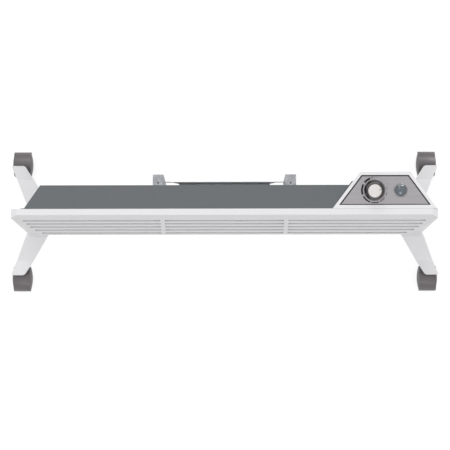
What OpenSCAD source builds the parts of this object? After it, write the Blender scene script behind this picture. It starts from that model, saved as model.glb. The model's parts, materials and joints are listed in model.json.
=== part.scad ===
// Wall panel convector heater on castors, in millimetres.
// X runs along the heater, -Y is the front, Z is up.
// The origin lies on the floor, midway between the four castors.

/* [Body] */
// Width of the front panel
body_w = 830; // [760:10:960]
// Height of the heater body, without the legs
body_h = 405; // [380:5:450]
// Height of the body's underside above the floor
floor_gap = 95; // [90:1:110]
// Distance from the legs' centre line forward to the seam of panel and case
seam_forward = 12; // [6:0.5:14]

/* [Front panel] */
// Thickness of the pressed sheet
panel_wall = 1.5; // [1.2:0.1:2]
// Depth of the flat top lip
lip_depth = 12; // [10:0.5:15]
// Depth of the side walls and of the bottom edge
side_depth = 18; // [16:0.5:20]
// Depth at the crest
crest_depth = 41.5; // [38:0.5:46]
// Height from the crest up to the lip
crest_drop = 130; // [125:1:150]
// Radius of the bend along the crest
crest_round = 80; // [40:5:100]
// Distance from the panel's side in to the end of the crest
crest_inset = 48; // [44:1:56]
// Distance from the panel's side in to the shoulder
shoulder_inset = 27; // [24:1:30]
// How far down the sloping face the shoulder lies
shoulder_share = 0.7; // [0.65:0.01:0.72]
// Length of the sloped ends of the lip
corner_run = 11; // [8:0.5:14]
// Drop of the sloped ends of the lip
corner_drop = 5; // [3:0.5:8]

/* [Outlet louvres] */
// Number of rows of slots
row_count = 5; // [3:1:5]
// Distance from one row down to the next
row_pitch = 20; // [18:0.5:21]
// Distance from the lip down to the first row
first_row_drop = 38.5; // [34:0.5:40]
// Height of a slot
slot_h = 9.5; // [6:0.5:10]
// Distance of the divider bars from the middle
divider_x = 121; // [80:1:160]
// Width of a divider bar
divider_w = 9; // [6:0.5:12]
// Depth of the blade behind each slot
blade_depth = 7; // [5:0.5:8]
// Distance from the first row's end to the edge of the face
slot_margin = 3; // [3:0.5:6]
// Extra distance for each row below
slot_margin_step = 2; // [0:0.25:3]

/* [Rear case] */
// Depth of the case
case_depth = 46; // [42:1:55]
// Thickness of the steel sheet
case_wall = 1.2; // [1:0.1:1.6]
// Distance from the panel's side in to the case's front corner
case_inset = 25; // [22:1:28]
// How much each end narrows towards the rear
case_taper = 32; // [24:1:34]
// Width of the flange that the panel is screwed to
case_flange = 6; // [6:0.5:8]
// Length of an air intake slot
intake_l = 26; // [20:1:30]
// Width of an air intake slot
intake_w = 5; // [3:0.5:6]
// Thickness of the collar that guides the housing
collar_wall = 2; // [1.5:0.1:2.5]
// How far the collar stands out to the rear
collar_reach = 8; // [5:0.5:10]
// Distance between air intake slots
intake_pitch = 14; // [12:1:20]
// Half-length of the row of intake slots
intake_reach = 290; // [240:5:300]

/* [Control housing] */
// Distance from the panel's side in to the housing
housing_inset = 2; // [2:0.5:4]
// Width along the front panel
housing_w = 203; // [200:1:215]
// How much each end narrows towards the rear
housing_slant = 53; // [50:1:56]
// Depth of the housing
housing_depth = 70; // [66:0.5:72]
// Height of the housing below the lip
housing_h = 115; // [100:1:130]
// Height of the slope under its rear part
housing_chamfer = 45; // [35:1:60]
// Thickness of the moulded wall
housing_wall = 2.5; // [2.5:0.1:3]
// Slope of the control deck in degrees
deck_tilt = 10; // [8:0.5:12]
// Width of the fascia along its front edge
fascia_w = 172; // [168:1:176]
// How much each end of the fascia narrows towards the rear
fascia_slant = 41; // [39:0.5:43]
// Length of the fascia up the deck
fascia_l = 55; // [53:0.5:57]
// Distance from the deck's front edge to the fascia
fascia_rim = 8; // [6.5:0.5:8.5]
// Thickness of the fascia plate
fascia_t = 1; // [0.8:0.1:1.2]
// Width of the groove round the fascia
fascia_groove = 1.6; // [1:0.1:2]

/* [Thermostat knob] */
// Distance of the knob and the button up the deck
control_row = 35; // [34:0.5:36]
// Distance of the knob from the housing's middle
knob_offset = 20.5; // [19:0.5:24]
// Diameter of the knob's skirt
knob_d = 39.6; // [36:0.2:41]
// Height of the knob above the fascia
knob_h = 15; // [14:0.5:18]
// Diameter of the cap in the knob
cap_d = 26; // [24:0.5:28]
// Angle of the knob's pointer at rest
pointer_turn = 11; // [0:1:14]
// Diameter of the thermostat's shaft
shaft_d = 6; // [5:0.5:7]
// Diameter of the thermostat's threaded bush
bush_d = 10; // [9.5:0.5:10.5]
// Width of the thermostat
thermostat_w = 34; // [30:1:36]
// Height of the thermostat below the deck
thermostat_h = 24; // [20:1:28]

/* [Power button] */
// Distance of the button from the housing's middle
button_offset = 30.5; // [28:0.5:32]
// Diameter of the bezel
bezel_d = 26.6; // [25:0.2:27]
// Diameter of the domed lens
lens_d = 21.4; // [20:0.2:22]
// Height of the bezel above the fascia
bezel_h = 1.6; // [1:0.1:2]
// Rise of the lens's dome above the bezel
lens_rise = 3.4; // [2.6:0.1:4]
// Travel of the button
button_travel = 2.5; // [2:0.1:3]
// Height of the switch below the deck
switch_h = 22; // [20:1:26]

/* [Legs] */
// Thickness of the leg plate
leg_wall = 2; // [1.5:0.1:2.5]
// Distance from the middle to the end of a leg
leg_reach = 116.5; // [112:0.5:125]
// Height of the pads' top above the floor
pad_h = 60; // [59:0.5:62]
// Length of a pad
pad_l = 30.5; // [30:0.5:33]
// Half-length of the flat part under the body
saddle_l = 38; // [36:0.5:42]
// How far the leg's end stands out beyond the panel's side
leg_out = 39; // [38:0.5:44]
// Width of the leg's end
leg_end_w = 29; // [27:0.5:31]
// Distance of the leg's outer edge in from the panel's side, on the centre line
leg_root_out = 11; // [8:0.5:14]
// Distance of the leg's inner edge in from the panel's side, on the centre line
leg_root_in = 64; // [60:0.5:68]
// Depth of the flanges along the leg's edges
leg_flange = 8; // [5:0.5:10]
// Radius of the rounded inner corner of a pad
pad_round = 9; // [6:0.5:12]
// Length of the clipped outer corner of a pad
pad_clip = 4; // [2:0.5:6]

/* [Castors] */
// Diameter of a wheel
wheel_d = 50; // [46:1:51]
// Width of a wheel's tread
tread_w = 10; // [9:0.5:11]
// Gap between the two treads
tread_gap = 16; // [15.5:0.5:17]
// Bulge of a wheel's outer face
wheel_bulge = 3.5; // [2:0.5:4]
// Diameter of the axle
axle_d = 6; // [5:0.5:7]
// Distance from the axle to the swivel stem
stem_trail = 20; // [19:0.5:21]
// Diameter of the stem
stem_d = 10; // [9:0.5:10]
// Thickness of the hood over the wheels
hood_wall = 2; // [1.5:0.1:2]
// Width of the hood
hood_w = 36; // [34:0.5:37]
// Distance of the stem in from the leg's end
stem_inset = 15; // [14.5:0.5:15.5]

/* [Wall bracket] */
// Distance from the case to the wall
wall_gap = 28.5; // [26:0.5:32]
// Distance from the panel's side in to the middle of an upright
upright_inset = 284; // [260:1:300]
// Width of an upright
upright_w = 21.5; // [20:0.5:24]
// Distance from the lip down to the top of an upright
upright_drop = 80; // [70:1:90]
// Length of an upright
upright_l = 190; // [180:1:200]
// Thickness of the galvanised sheet
bracket_wall = 1.5; // [1.2:0.1:2]
// Distance from the top of an upright down to the crossbar
cross_drop = 150; // [140:1:152]
// Height of the crossbar
cross_h = 35; // [30:0.5:37]
// Depth of the crossbar's stiffening flange
cross_flange = 11; // [8:0.5:14]
// Diameter of a wall screw hole
wall_hole_d = 5.5; // [5:0.1:6]
// Distance from the ends of an upright to its wall screw holes
wall_hole_inset = 25; // [20:1:30]
// Diameter of the hole in an upright's top tab
tab_hole_d = 3.5; // [3:0.1:4]
// Distance from the ends of an upright to its hooks
hook_inset = 45; // [40:1:50]

/* [Inside] */
// Height of the heating element above the case's floor
element_up = 85; // [75:1:100]
// Diameter of the heating element's tube
element_d = 10; // [8:0.5:12]
// Distance from the panel's side in to an element bracket
element_inset = 135; // [130:1:165]
// Length of a fin, up and down
fin_h = 52; // [40:1:60]
// Depth of a fin
fin_depth = 28; // [24:1:30]
// Thickness of a fin
fin_t = 0.8; // [0.6:0.1:1.2]
// Distance between fins
fin_pitch = 14; // [12:1:20]
// Diameter of the cable gland's bore
gland_bore_d = 8; // [7:0.2:9]

/* [Fits] */
// Gap between a piece and its seat
fit_gap = 0.3; // [0.2:0.05:0.4]
// Radial running clearance of a shaft in its bore
run_gap = 0.05; // [0.03:0.01:0.08]

/* [Hidden] */
$fn = 48;
overrun = 1;
panel_half = body_w / 2;
upright_x = panel_half - upright_inset;
element_span = 2 * (panel_half - element_inset);
body_top = floor_gap + body_h;
seam_y = -seam_forward;
case_back = seam_y + case_depth;
wall_y = case_back + wall_gap;
inner_back = case_back - case_wall;

// The sloping face of the front panel runs from the lip down to the crest.
crest_z = body_top - crest_drop;
face_angle = atan((crest_depth - lip_depth) / crest_drop);
foot_angle = atan((crest_depth - side_depth) / (crest_z - floor_gap));
crest_steps = 5;

// Control housing and its tilted deck
housing_cx = panel_half - housing_inset - housing_w / 2;
housing_front = seam_y + fit_gap;
housing_back = housing_front + housing_depth;
housing_low = body_top - housing_h;
knob_x = housing_cx - knob_offset;
button_x = housing_cx + button_offset;
cap_t = knob_h / 6;
shaft_top = knob_h - 2 * cap_t;
bush_top = knob_h / 5;
nut_h = bush_top * 2 / 3;
bezel_r = bezel_d / 2;
lens_r = lens_d / 2;
sensor_side = 4;
sensor_x = knob_x + thermostat_w / 2 + sensor_side;
sensor_y = inner_back - case_depth / 4;
sensor_d = 6;

// Legs and castors: each corner has a name and its signs in X and Y.
CORNERS = [["front_left", -1, -1], ["front_right", 1, -1], ["rear_left", -1, 1], ["rear_right", 1, 1]];
leg_in_end = panel_half + leg_out - leg_end_w;
leg_in_root = panel_half - leg_root_in;
leg_out_end = panel_half + leg_out;
leg_out_root = panel_half - leg_root_out;
slope_end = leg_reach - pad_l;
pad_steps = 6;
stem_y = leg_reach - stem_inset;
stem_x = (leg_in(stem_y) + leg_out_x(stem_y)) / 2;
wheel_r = wheel_d / 2;
hood_in = wheel_r + 2 * fit_gap;
hood_out = hood_in + hood_wall;
hood_start = -12;
hood_end = 152;
tread_in = tread_gap / 2;
tread_out = tread_in + tread_w;
hub_in = tread_in - 3 * tread_in / 8;
hub_wall = 4;
hub_r = axle_d / 2 + hub_wall;
rim_wall = 4;
rim_round = 1;
rib_count = 6;
rib_wall = 1.6;
rib_sink = 1.5;
boss_wall = 2;
boss_r = stem_d / 2 + boss_wall;
socket_wall = 3;
socket_r = stem_d / 2 + socket_wall;
socket_sink = 7.3;
socket_low = hood_out - socket_sink;
pad_under = pad_h - leg_wall - wheel_r;
stem_low = wheel_r / 2;

// Screws that hold the panel and the legs
screw_d = 4;
screw_head_d = 6;
screw_head_h = 2;
leg_screw_ys = [seam_y + screw_head_d, seam_y + case_depth * 0.42];
panel_screw_shares = [0.12, 0.62];

// Heating element and its brackets, inside the case
element_y = seam_y + case_depth * 0.44;
element_z = floor_gap + element_up;
insulator_wall = 3;
bush_out_r = element_d / 2 + insulator_wall;
bracket_foot = 16;
gland_inset = 88;
gland_up = 30;
gland_wall = 2.5;
gland_rim = 3;
gland_x = panel_half - gland_inset;
gland_z = floor_gap + gland_up;
gland_r = gland_bore_d / 2 + gland_wall;

// Hooks of the wall bracket, which go through slots in the case
hook_w = 14;
hook_reach = 6;
hook_lip = 6;
upright_top = body_top - upright_drop;

// Half-width of the sloping face at a height: lip end, shoulder and crest end
shoulder_z = body_top - crest_drop * shoulder_share;
function face_half(z) = z > shoulder_z
    ? lookup(z, [[shoulder_z, panel_half - shoulder_inset], [body_top, panel_half - corner_run]])
    : lookup(z, [[crest_z, panel_half - crest_inset], [shoulder_z, panel_half - shoulder_inset]]);
function face_y(z) = seam_y - lip_depth - (crest_depth - lip_depth) * (body_top - z) / crest_drop;
function row_z(i) = body_top - first_row_drop - i * row_pitch;
function row_half(i) = face_half(row_z(i)) - slot_margin - i * slot_margin_step;

// Points of the rounded crest, from the sloping face to the lower face
function crest_point(i, inset) =
    let (mid = (face_angle - foot_angle) / 2)
    let (turn = (face_angle + foot_angle) / 2)
    let (reach = crest_round / cos(turn))
    let (cy = seam_y - crest_depth + inset + reach * cos(mid))
    let (cz = crest_z - reach * sin(mid))
    let (a = face_angle - (face_angle + foot_angle) * i / crest_steps)
    [cy - crest_round * cos(a), cz + crest_round * sin(a)];

// Corner points of one end of the panel, moved in by inset from every face
function panel_end(s, inset) =
    let (half = panel_half - inset)
    let (top = body_top - inset)
    let (back = inset > 0 ? seam_y - inset : seam_y)
    concat(
        [[s * (half - corner_run), back, top]],
        [[s * half, back, top - corner_drop]],
        [[s * half, back, floor_gap + inset]],
        [[s * (half - corner_run), seam_y - lip_depth + inset, top]],
        [[s * half, seam_y - side_depth + inset, top - corner_drop]],
        [[s * half, seam_y - side_depth + inset, floor_gap + inset]],
        [[s * (half - shoulder_inset), face_y(shoulder_z) + inset, shoulder_z]],
        [for (i = [0 : crest_steps])
            let (p = crest_point(i, inset))
            [s * (half - crest_inset), p[0], p[1]]]
    );

// Faces of one end; the other end has the same faces the other way round.
function end_faces() = concat(
    [[4, 1, 2, 5], [0, 1, 4, 3], [3, 4, 6], [4, 5, 6], [6, 5, 7 + crest_steps]],
    [for (i = [0 : crest_steps - 1]) [6, 8 + i, 7 + i]]
);
function reversed(f) = [for (i = [len(f) - 1 : -1 : 0]) f[i]];

// The panel's outer form: both ends and the faces that span between them
module panel_form(inset) {
    m = 8 + crest_steps;
    spans = concat(
        [[0, 3, 3 + m, m], [3, 6, 7, 7 + m, 6 + m, 3 + m]],
        [for (i = [0 : crest_steps - 1]) [7 + i, 8 + i, 8 + i + m, 7 + i + m]],
        [[7 + crest_steps, 5, 5 + m, 7 + crest_steps + m], [2, 2 + m, 5 + m, 5]],
        [[0, m, 1 + m, 2 + m, 2, 1]]
    );
    left_faces = [for (f = end_faces()) reversed([for (k = f) k + m])];
    polyhedron(concat(panel_end(1, inset), panel_end(-1, inset)),
        concat(end_faces(), left_faces, spans), convexity = 6);
}

// A frame on the sloping face: its Z runs up the face, its -Y points out of it.
module on_face(z) {
    translate([0, face_y(z), z]) rotate([-face_angle, 0, 0]) children();
}

// Stretches of one row between its ends and the divider bars
function row_spans(i) = [
    [-row_half(i), -divider_x - divider_w / 2],
    [-divider_x + divider_w / 2, divider_x - divider_w / 2],
    [divider_x + divider_w / 2, row_half(i)]
];

module louvre_slot(x0, x1) {
    translate([x0, -overrun, -slot_h / 2]) cube([x1 - x0, panel_wall + 2 * overrun, slot_h]);
}

// A blade pressed inwards from the upper edge of its slot, to turn the rising air outwards
module louvre_blade(x0, x1) {
    fall = slot_h / blade_depth;
    root = panel_wall / 4;
    translate([x0, 0, slot_h / 2]) rotate([90, 0, 90]) linear_extrude(x1 - x0)
        polygon([[root, panel_wall - root * fall], [root, -root * fall],
            [blade_depth, -slot_h], [blade_depth, panel_wall - slot_h]]);
}

// The opening in the panel's back, as wide as the inside of the case
module panel_back_opening() {
    half = panel_half - case_inset - case_wall;
    translate([-half, seam_y - panel_wall - overrun, floor_gap + panel_wall])
        cube([2 * half, panel_wall + 2 * overrun, body_h - 2 * panel_wall]);
}

module front_panel() {
    color("whitesmoke") {
        difference() {
            panel_form(0);
            panel_form(panel_wall);
            panel_back_opening();
            for (i = [0 : row_count - 1], s = row_spans(i)) on_face(row_z(i)) louvre_slot(s[0], s[1]);
            panel_screw_places() cylinder(h = 2 * panel_wall + overrun, d = screw_d, center = true);
        }
        for (i = [0 : row_count - 1], s = row_spans(i)) on_face(row_z(i)) louvre_blade(s[0], s[1]);
    }
}

// Places of the panel screws, with Z pointing to the rear out of the case's flange
module panel_screw_places() {
    for (s = [-1, 1], h = panel_screw_shares)
        translate([s * (panel_half - case_inset + case_flange / 2), seam_y, floor_gap + h * body_h])
            rotate([-90, 0, 0]) children();
}

module panel_screws() {
    color("silver") panel_screw_places() {
        translate([0, 0, case_wall]) cylinder(h = screw_head_h, d = screw_head_d - 2 * fit_gap);
        translate([0, 0, -panel_wall]) cylinder(h = panel_wall + case_wall, d = screw_d - 2 * run_gap);
    }
}

// Plan of the case, moved in by inset from its ends and back
function case_half(y, inset) = panel_half - case_inset - case_taper * (y - seam_y) / case_depth
    - inset * norm([case_depth, case_taper]) / case_depth;
function case_plan(inset, front) = [
    [-case_half(front, inset), front], [case_half(front, inset), front],
    [case_half(case_back - inset, inset), case_back - inset],
    [-case_half(case_back - inset, inset), case_back - inset]
];

// The housing's form: a tapered plan cut to the side profile of its deck and sloped underside
module housing_form(grow, front) {
    k = norm([housing_depth, housing_slant]) / housing_depth;
    back = housing_back + grow;
    half_front = housing_w / 2 + grow * k + (housing_front - front) * housing_slant / housing_depth;
    half_back = housing_w / 2 - housing_slant + grow * k - grow * housing_slant / housing_depth;
    lift = grow / cos(deck_tilt);
    rise = tan(deck_tilt);
    intersection() {
        translate([housing_cx, 0, housing_low - housing_h]) linear_extrude(3 * housing_h)
            polygon([[-half_front, front], [half_front, front], [half_back, back], [-half_back, back]]);
        rotate([90, 0, 90]) linear_extrude(body_w)
            polygon([[front, housing_low - grow], [case_back, housing_low - grow],
                [back, housing_low + housing_chamfer - grow],
                [back, body_top + lift + (back - housing_front) * rise],
                [front, body_top + lift + (front - housing_front) * rise]]);
    }
}

// A frame on the control deck: Y runs up the slope from its front edge, Z stands out of it.
module on_deck(x, y) {
    translate([x, housing_front, body_top]) rotate([deck_tilt, 0, 0]) translate([0, y, 0]) children();
}

module intake_row(y, z, turn) {
    count = floor(2 * intake_reach / intake_pitch);
    for (i = [0 : count])
        translate([(i - count / 2) * intake_pitch, y, z]) rotate([turn, 0, 0])
            cube([intake_w, intake_l, 4 * case_wall], center = true);
}

// Slots in the case's rear wall for the hooks of the wall bracket
function hook_z(i) = upright_top - hook_inset - i * (upright_l - 2 * hook_inset);
module hook_slots() {
    for (s = [-1, 1], i = [0, 1], t = [-1, 1])
        translate([s * upright_x + t * (upright_w - bracket_wall) / 2, case_back, hook_z(i)])
            cube([bracket_wall + 4 * fit_gap, 4 * case_wall, hook_w + 2 * hook_lip], center = true);
}

// A collar behind the case, round the left half of the control housing
module housing_collar() {
    intersection() {
        housing_form(fit_gap + collar_wall, seam_y);
        translate([housing_cx - housing_w, inner_back, housing_low - housing_h])
            cube([housing_w, case_wall + collar_reach, 2 * housing_h - 2 * collar_wall]);
    }
}

module rear_case() {
    color("dimgray") difference() {
        union() {
            housing_collar();
            translate([0, 0, floor_gap]) linear_extrude(body_h) polygon(case_plan(0, seam_y));
            translate([-panel_half + case_inset - case_flange, seam_y, floor_gap])
                cube([body_w - 2 * case_inset + 2 * case_flange, case_wall, body_h]);
        }
        translate([0, 0, floor_gap + case_wall]) linear_extrude(body_h - 2 * case_wall)
            polygon(case_plan(case_wall, seam_y - overrun));
        housing_form(fit_gap, seam_y - overrun);
        intake_row(seam_y + case_depth / 2, floor_gap, 0);
        intake_row(case_back, floor_gap + 2 * intake_l, 90);
        hook_slots();
        translate([gland_x, case_back, gland_z]) rotate([90, 0, 0])
            cylinder(h = 4 * case_wall, r = gland_r + run_gap, center = true);
        leg_screw_places() cylinder(h = 4 * case_wall, d = screw_d, center = true);
        panel_screw_places() cylinder(h = 4 * case_wall, d = screw_d, center = true);
    }
}

module control_housing() {
    color("white") difference() {
        housing_form(0, housing_front);
        housing_form(-housing_wall, housing_front + housing_wall);
        on_deck(housing_cx, 0) translate([0, 0, -fascia_t]) linear_extrude(fascia_t + overrun)
            polygon(fascia_plan(fascia_groove));
        on_deck(knob_x, control_row)
            cylinder(h = 4 * housing_wall, d = bush_d + 2 * fit_gap, center = true);
        on_deck(button_x, control_row)
            cylinder(h = 4 * housing_wall, r = lens_r + 2 * fit_gap + bezel_h, center = true);
        translate([sensor_x, sensor_y, housing_low])
            cylinder(h = 4 * housing_wall, d = 2 * sensor_d, center = true);
    }
}

// Plan of the fascia on the deck, grown on every side
function fascia_plan(grow) =
    let (k = norm([fascia_l, fascia_slant]) / fascia_l)
    let (lean = grow * fascia_slant / fascia_l)
    let (half_front = fascia_w / 2 + grow * k + lean)
    let (half_back = fascia_w / 2 - fascia_slant + grow * k - lean)
    [[-half_front, fascia_rim - grow], [half_front, fascia_rim - grow],
        [half_back, fascia_rim + fascia_l + grow], [-half_back, fascia_rim + fascia_l + grow]];

module control_fascia() {
    color("silver") difference() {
        on_deck(housing_cx, 0) translate([0, 0, -fascia_t]) linear_extrude(fascia_t)
            polygon(fascia_plan(0));
        on_deck(knob_x, control_row)
            cylinder(h = 4 * housing_wall, d = bush_d + 2 * fit_gap, center = true);
        on_deck(button_x, control_row)
            cylinder(h = 4 * housing_wall, r = lens_r + 2 * fit_gap + bezel_h, center = true);
    }
}

// A dark seal fills the groove round the fascia.
module fascia_seal() {
    color("black") on_deck(housing_cx, 0) translate([0, 0, -fascia_t])
        linear_extrude(fascia_t * 0.8) difference() {
            polygon(fascia_plan(fascia_groove - run_gap));
            polygon(fascia_plan(run_gap));
        }
}

// The thermostat hangs under the deck; its bush comes up through the fascia.
module thermostat_body() {
    color("lightgray") difference() {
        on_deck(knob_x, control_row) {
            translate([-thermostat_w / 2, -thermostat_w / 2, -housing_wall - thermostat_h])
                cube([thermostat_w, thermostat_w, thermostat_h]);
            translate([0, 0, -housing_wall - fit_gap])
                cylinder(h = housing_wall + fit_gap + bush_top, d = bush_d);
        }
        on_deck(knob_x, control_row) translate([0, 0, -housing_wall - thermostat_h / 2])
            cylinder(h = thermostat_h + housing_wall + knob_h, r = shaft_d / 2 + run_gap);
    }
}

module thermostat_nut() {
    color("silver") difference() {
        on_deck(knob_x, control_row) cylinder(h = nut_h, r = bush_d * 0.8, $fn = 6);
        on_deck(knob_x, control_row) translate([0, 0, -overrun])
            cylinder(h = nut_h + 2 * overrun, r = bush_d / 2 + run_gap);
    }
}

// The shaft is round in the thermostat and has a flat where it holds the knob.
module thermostat_shaft() {
    low = housing_wall + thermostat_h / 2 - fit_gap;
    color("silver") difference() {
        on_deck(knob_x, control_row) translate([0, 0, -low]) cylinder(h = low + shaft_top, d = shaft_d);
        on_deck(knob_x, control_row) translate([-shaft_d / 2, shaft_d / 4, bush_top + fit_gap])
            cube([shaft_d, shaft_d, shaft_top]);
    }
}

// The grip is a hollow skirt that narrows up to the cap, with a hub on the shaft.
module knob_grip() {
    skirt_r = knob_d / 2;
    seat_r = cap_d / 2 + fit_gap;
    crown_r = seat_r + cap_t / 2;
    seat_z = knob_h - cap_t;
    roof_z = seat_z - cap_t;
    wall = skirt_r / 12;
    hub = shaft_d / 2 + wall;
    color("dimgray") difference() {
        on_deck(knob_x, control_row) rotate_extrude()
            polygon([[0, bush_top + fit_gap], [hub, bush_top + fit_gap], [hub, roof_z],
                [crown_r - wall, roof_z], [skirt_r - wall, 2 * fit_gap], [skirt_r, 2 * fit_gap],
                [skirt_r, knob_h / 5], [(skirt_r + crown_r) / 2, knob_h * 0.7], [crown_r, knob_h],
                [seat_r, knob_h], [seat_r, seat_z], [0, seat_z]]);
        on_deck(knob_x, control_row) cylinder(h = shaft_top + run_gap, r = shaft_d / 2 + run_gap);
    }
}

// A slightly crowned disc with a small notch as its pointer
module knob_cap() {
    r = cap_d / 2;
    color("linen") difference() {
        on_deck(knob_x, control_row) translate([0, 0, knob_h - cap_t]) rotate_extrude()
            polygon([[0, 0], [r, 0], [r, cap_t * 0.8], [r * 0.94, cap_t],
                [r * 0.5, cap_t * 1.2], [0, cap_t * 1.25]]);
        on_deck(knob_x, control_row) rotate([0, 0, pointer_turn])
            translate([r * 0.62, -r / 22, knob_h - cap_t / 4]) cube([r * 0.28, r / 11, cap_t]);
    }
}

// The bulb sits in the cool intake air; its fine tube runs up to the thermostat.
module sensor_capillary() {
    tube_d = sensor_d / 3;
    low = floor_gap + case_wall;
    top = body_top - thermostat_h / 2;
    color("peru") translate([sensor_x, sensor_y, low]) {
        cylinder(h = 3 * intake_l, d = sensor_d);
        cylinder(h = top - low, d = tube_d);
        translate([0, 0, top - low - tube_d / 2]) rotate([0, -90, 0]) cylinder(h = sensor_side, d = tube_d);
    }
}

module button_bezel() {
    outer = lens_r + fit_gap + bezel_h;
    color("silver") difference() {
        on_deck(button_x, control_row) rotate_extrude()
            polygon([[0, -housing_wall], [outer, -housing_wall], [outer, 0], [bezel_r, 0],
                [bezel_r, bezel_h / 2], [bezel_r - bezel_h / 2, bezel_h], [0, bezel_h]]);
        on_deck(button_x, control_row)
            cylinder(h = 4 * housing_wall, r = lens_r + fit_gap, center = true);
    }
}

// The lens is the button itself: a glassy dome over a short plunger.
module button_lens() {
    dome_r = (lens_r * lens_r + lens_rise * lens_rise) / (2 * lens_rise);
    dome_angle = asin(lens_r / dome_r);
    steps = 8;
    color("steelblue") on_deck(button_x, control_row) rotate_extrude()
        polygon(concat([[0, -housing_wall], [lens_r, -housing_wall]],
            [for (i = [0 : steps]) let (a = dome_angle * (1 - i / steps))
                [dome_r * sin(a), bezel_h + lens_rise - dome_r * (1 - cos(a))]]));
}

// The switch is clipped under the deck and leaves room for the button's travel.
module power_switch() {
    outer = lens_r + fit_gap + bezel_h;
    low = housing_wall + button_travel + 2 * fit_gap;
    color("dimgray") difference() {
        on_deck(button_x, control_row) translate([0, 0, -housing_wall - switch_h])
            cylinder(h = switch_h, r = outer + housing_wall);
        on_deck(button_x, control_row) translate([0, 0, -low]) cylinder(h = low, r = outer);
    }
}

// A sheet behind the panel turns the rising air out through the louvres.
module air_baffle() {
    low = hook_z(0) + 2 * hook_w;
    high = body_top - first_row_drop / 2;
    color("silver") translate([-panel_half + 2 * case_inset + case_taper, 0, 0]) rotate([90, 0, 90])
        linear_extrude(body_w - housing_w - 3 * case_inset - 2 * case_taper)
            polygon([[inner_back, low], [inner_back, low + hook_w], [inner_back - case_wall, low + hook_w],
                [inner_back - case_wall, low + 2 * case_wall], [seam_y + case_wall, high],
                [seam_y, high - case_wall], [inner_back - case_wall, low]]);
}

module element_place(x) {
    translate([x, element_y, element_z]) rotate([0, 90, 0]) children();
}

module element_bracket(s) {
    foot_x = s > 0 ? -case_wall / 2 : case_wall / 2 - bracket_foot;
    difference() {
        translate([s * element_span / 2, 0, element_z]) {
            translate([-case_wall / 2, element_y - bracket_foot, -fin_h / 2])
                cube([case_wall, inner_back - element_y + bracket_foot, fin_h]);
            translate([foot_x, inner_back - case_wall, -fin_h / 2]) cube([bracket_foot, case_wall, fin_h]);
        }
        element_place(s * element_span / 2)
            cylinder(h = 4 * case_wall, r = bush_out_r + run_gap, center = true);
    }
}

module element_insulators() {
    color("ivory") for (s = [-1, 1]) difference() {
        element_place(s * element_span / 2) cylinder(h = bush_out_r, r = bush_out_r, center = true);
        element_place(s * element_span / 2)
            cylinder(h = 2 * bush_out_r, r = element_d / 2 + run_gap, center = true);
    }
}

module element_tube() {
    color("gray") element_place(0) {
        cylinder(h = element_span + 3 * bush_out_r, d = element_d, center = true);
        cylinder(h = element_span + 6 * bush_out_r, d = element_d / 3, center = true);
    }
}

module element_fins() {
    reach = element_span / 2 - bush_out_r;
    count = floor(2 * reach / fin_pitch);
    color("silver") for (i = [0 : count]) translate([(i - count / 2) * fin_pitch, element_y, element_z])
        rotate([0, 90, 0]) difference() {
            cube([fin_h, fin_depth, fin_t], center = true);
            cylinder(h = 4 * fin_t, r = element_d / 2, center = true);
        }
}

// A disc that cuts the power when the case gets too hot, on a small rear plate
module thermal_cutout() {
    r = element_d;
    color("gainsboro") translate([0, inner_back, element_z + 2 * fin_h]) rotate([90, 0, 0]) {
        translate([-2 * r, -r, 0]) cube([4 * r, 2 * r, case_wall]);
        translate([0, 0, case_wall]) cylinder(h = r, r = r * 0.85);
    }
}

// A box with a rolling weight, on the floor of the case
module tip_over_switch() {
    w = case_depth / 2;
    color("black") translate([gland_x - 3 * w, element_y - w / 2, floor_gap + case_wall])
        cube([w, w, 1.3 * w]);
}

module terminal_block() {
    w = case_depth / 3;
    color("ivory") translate([gland_x - w, seam_y + case_wall + fit_gap, floor_gap + case_wall])
        difference() {
            cube([3 * w, w, w]);
            for (i = [0 : 2]) translate([w * (i + 0.5), w / 2, w / 2]) cylinder(h = w, d = w / 3);
        }
}

module cable_gland() {
    color("black") translate([gland_x, case_back, gland_z]) rotate([-90, 0, 0]) difference() {
        union() {
            translate([0, 0, -case_wall - gland_r]) cylinder(h = 2 * gland_r + case_wall, r = gland_r);
            cylinder(h = gland_r / 2, r = gland_r + gland_rim);
            translate([0, 0, -case_wall - gland_r]) cylinder(h = gland_r, r = gland_r + gland_wall);
        }
        cylinder(h = 6 * gland_r, d = gland_bore_d, center = true);
    }
}

// Edges of a leg at a distance from its centre line
function leg_in(y) = leg_in_root + (leg_in_end - leg_in_root) * abs(y) / leg_reach;
function leg_out_x(y) = leg_out_root + (leg_out_end - leg_out_root) * abs(y) / leg_reach;

// How much longer a leg's slanted edge is than its reach
function leg_lean_in() = norm([leg_reach, leg_in_end - leg_in_root]) / leg_reach;
function leg_lean_out() = norm([leg_reach, leg_out_end - leg_out_root]) / leg_reach;

// Plan of a leg's rear half: inner edge, rounded corner, end and outer edge, moved in by inset
function leg_half_plan(inset) =
    let (lean = atan((leg_in_end - leg_in_root) / leg_reach))
    let (cx = leg_in_end + pad_round * tan((90 - lean) / 2))
    let (end = inset > 0 ? leg_reach + overrun : leg_reach)
    let (clip = leg_out_x(leg_reach - pad_clip) - leg_lean_out() * inset)
    concat(
        [[leg_in(0) + leg_lean_in() * inset, 0]],
        [for (i = [0 : pad_steps])
            let (a = 180 - lean - (90 - lean) * i / pad_steps)
            [cx + (pad_round - inset) * cos(a), leg_reach - pad_round + (pad_round - inset) * sin(a)]],
        [[cx, end], [clip, end], [clip, leg_reach - pad_clip]],
        [[leg_out_x(0) - leg_lean_out() * inset, 0]]
    );

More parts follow.
